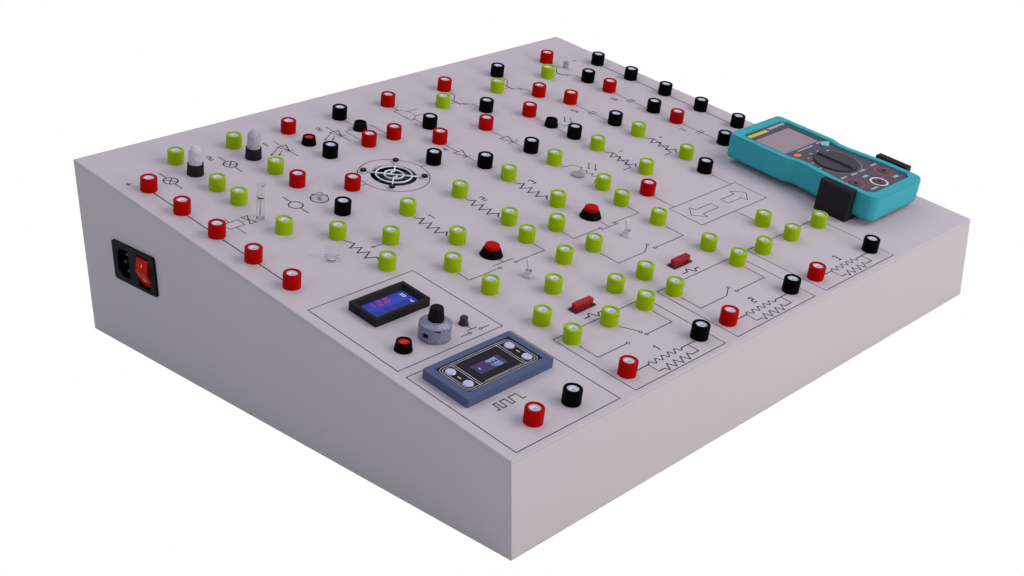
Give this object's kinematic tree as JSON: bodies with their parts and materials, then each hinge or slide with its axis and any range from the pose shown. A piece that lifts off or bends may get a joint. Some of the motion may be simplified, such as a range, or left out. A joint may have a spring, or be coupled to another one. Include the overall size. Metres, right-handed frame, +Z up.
{
  "type": "basic electricity trainer",
  "caption": "Sloped desk trainer with coloured plug sockets, small electrical experiments, a supply meter, a pulse module, a mains inlet and a pocket meter in a cradle.",
  "frame": {"origin": "middle of the desk's footprint, on the surface it stands on", "axes": "X along the front edge to the right, Y from the front to the back, Z up"},
  "size_m": [0.5763, 0.488, 0.1654],
  "materials": {
    "housing_paint": "fine textured powder coat",
    "panel_print": "satin white panel with black line print",
    "black_rubber": "matte",
    "bright_steel": "bright zinc",
    "red_plastic": "satin moulded",
    "black_plastic": "satin moulded",
    "green_plastic": "satin moulded",
    "nickel": "nickel plated",
    "red_rocker": "glossy, slightly see-through",
    "blue_display": "lit display under a clear window",
    "slate_plastic": "fine texture",
    "black_gloss": "gloss",
    "pulse_display": "display under a clear window",
    "key_silver": "satin",
    "satin_aluminium": "turned and anodised",
    "blue_plastic": "moulded",
    "charcoal_plastic": "moulded",
    "red_lens": "clear red lens",
    "red_clear": "clear red body with tinned blades",
    "white_wire": "white coated wire",
    "black_steel": "blackened",
    "clear_plastic": "clear moulded",
    "winding": "lacquered copper wire",
    "plunger_steel": "red lacquered iron",
    "lamp_black": "moulded",
    "frosted_glass": "frosted",
    "sensor_grey": "moulded",
    "teal_rubber": "soft satin holster",
    "meter_grey": "fine texture",
    "selector_grey": "fine texture",
    "teal_button": "moulded",
    "cradle_black": "moulded"
  },
  "bodies": {
    "desk": {"housing_shell": "housing_paint", "base_plate": "housing_paint", "rubber_feet": "black_rubber", "base_screws": "bright_steel", "top_panel": "panel_print", "red_sockets": "red_plastic", "black_sockets": "black_plastic", "green_sockets": "green_plastic", "socket_contacts": "nickel", "socket_nuts": "nickel", "inlet_body": "black_plastic", "inlet_pins": "nickel", "supply_meter_case": "black_plastic", "supply_meter_screen": "blue_display", "pulse_frame": "slate_plastic", "pulse_face": "black_gloss", "pulse_screen": "pulse_display", "dial_housing": "satin_aluminium", "dial_pot": "blue_plastic", "reset_body": "black_plastic", "lamp_bezels": "black_plastic", "lamp_lenses": "red_lens", "sensor_bezels": "black_plastic", "push_bodies": "black_plastic", "toggle_bodies": "nickel", "fuse_holders": "black_plastic", "fan_frame": "black_plastic", "fan_guard": "white_wire", "fan_screws": "black_steel", "motor_can": "bright_steel", "knob_pot": "charcoal_plastic", "solenoid_coil": "winding", "solenoid_tube": "clear_plastic", "lamp_holders": "lamp_black", "lamp_bulbs": "frosted_glass", "small_sensors": "sensor_grey", "meter_cradle": "cradle_black", "power_supply": "bright_steel"},
    "power_rocker": {"power_rocker": "red_rocker"},
    "pulse_key_1": {"pulse_key_1": "key_silver"},
    "pulse_key_2": {"pulse_key_2": "key_silver"},
    "pulse_key_3": {"pulse_key_3": "key_silver"},
    "pulse_key_4": {"pulse_key_4": "key_silver"},
    "turns_dial": {"dial_scale_ring": "satin_aluminium", "dial_cap": "black_plastic"},
    "reset_plunger": {"reset_plunger": "charcoal_plastic"},
    "push_cap_1": {"push_cap_1": "red_plastic"},
    "push_cap_2": {"push_cap_2": "red_plastic"},
    "toggle_bat_1": {"toggle_bat_1": "nickel"},
    "toggle_bat_2": {"toggle_bat_2": "nickel"},
    "fuse_1": {"fuse_1": "red_clear"},
    "fuse_2": {"fuse_2": "red_clear"},
    "fan_rotor": {"fan_rotor": "charcoal_plastic"},
    "motor_disc": {"motor_disc": "clear_plastic"},
    "clear_knob": {"clear_knob": "clear_plastic"},
    "solenoid_plunger": {"solenoid_plunger": "plunger_steel"},
    "pocket_meter": {"pocket_holster": "teal_rubber", "pocket_front_plate": "meter_grey"},
    "pocket_selector": {"pocket_selector": "selector_grey"},
    "pocket_button": {"pocket_button": "teal_button"}
  },
  "joints": [
    {"name": "power_switch", "type": "hinge", "parent": "desk", "child": "power_rocker", "pos_m": [-0.281, 0.1528, 0.081], "axis": [0, 1, 0], "range_deg": [0, 14]},
    {"name": "voltage_dial", "type": "hinge", "parent": "desk", "child": "turns_dial", "pos_m": [-0.22771, -0.11424, 0.09474], "axis": [0, -0.1578, 0.9875], "range_deg": [0, 3600]},
    {"name": "reset_press", "type": "slide", "parent": "desk", "child": "reset_plunger", "axis": [0, 0.1578, -0.9875], "range_m": [0, 0.0012], "stiffness_N_per_m": 100, "springref_m": -0.003},
    {"name": "push_1_press", "type": "slide", "parent": "desk", "child": "push_cap_1", "axis": [0, 0.1578, -0.9875], "range_m": [0, 0.002], "stiffness_N_per_m": 100, "springref_m": -0.003},
    {"name": "push_2_press", "type": "slide", "parent": "desk", "child": "push_cap_2", "axis": [0, 0.1578, -0.9875], "range_m": [0, 0.002], "stiffness_N_per_m": 100, "springref_m": -0.003},
    {"name": "toggle_1_tip", "type": "hinge", "parent": "desk", "child": "toggle_bat_1", "pos_m": [-0.11288, -0.09397, 0.09849], "axis": [1, 0, 0], "range_deg": [0, 24]},
    {"name": "toggle_2_tip", "type": "hinge", "parent": "desk", "child": "toggle_bat_2", "pos_m": [0.00112, -0.09397, 0.09849], "axis": [1, 0, 0], "range_deg": [0, 24]},
    {"name": "fuse_1_pull", "type": "slide", "parent": "desk", "child": "fuse_1", "axis": [0, -0.1578, 0.9875], "range_m": [0, 0.016]},
    {"name": "fuse_2_pull", "type": "slide", "parent": "desk", "child": "fuse_2", "axis": [0, -0.1578, 0.9875], "range_m": [0, 0.016]},
    {"name": "fan_spin", "type": "hinge", "parent": "desk", "child": "fan_rotor", "pos_m": [-0.08523, 0.08648, 0.12682], "axis": [0, -0.1578, 0.9875], "continuous": true},
    {"name": "motor_spin", "type": "hinge", "parent": "desk", "child": "motor_disc", "pos_m": [-0.16368, 0.08648, 0.12682], "axis": [0, -0.1578, 0.9875], "continuous": true},
    {"name": "knob_turn", "type": "hinge", "parent": "desk", "child": "clear_knob", "pos_m": [-0.21742, 0.00634, 0.11401], "axis": [0, -0.1578, 0.9875], "range_deg": [-150, 150]},
    {"name": "plunger_rise", "type": "slide", "parent": "desk", "child": "solenoid_plunger", "axis": [0, -0.1578, 0.9875], "range_m": [0, 0.008]},
    {"name": "meter_lift", "type": "slide", "parent": "desk", "child": "pocket_meter", "axis": [0, -0.1578, 0.9875], "range_m": [0, 0.04]},
    {"name": "meter_select", "type": "hinge", "parent": "pocket_meter", "child": "pocket_selector", "pos_m": [0.22799, -0.14159, 0.11751], "axis": [0, -0.1578, 0.9875], "range_deg": [-150, 150]},
    {"name": "meter_hold_press", "type": "slide", "parent": "pocket_meter", "child": "pocket_button", "axis": [0, 0.1578, -0.9875], "range_m": [0, 0.0008], "stiffness_N_per_m": 100, "springref_m": -0.003},
    {"name": "pulse_key_1_press", "type": "slide", "parent": "desk", "child": "pulse_key_1", "axis": [0, 0.1578, -0.9875], "range_m": [0, 0.0005], "stiffness_N_per_m": 100, "springref_m": -0.003},
    {"name": "pulse_key_2_press", "type": "slide", "parent": "desk", "child": "pulse_key_2", "axis": [0, 0.1578, -0.9875], "range_m": [0, 0.0005], "stiffness_N_per_m": 100, "springref_m": -0.003},
    {"name": "pulse_key_3_press", "type": "slide", "parent": "desk", "child": "pulse_key_3", "axis": [0, 0.1578, -0.9875], "range_m": [0, 0.0005], "stiffness_N_per_m": 100, "springref_m": -0.003},
    {"name": "pulse_key_4_press", "type": "slide", "parent": "desk", "child": "pulse_key_4", "axis": [0, 0.1578, -0.9875], "range_m": [0, 0.0005], "stiffness_N_per_m": 100, "springref_m": -0.003}
  ]
}
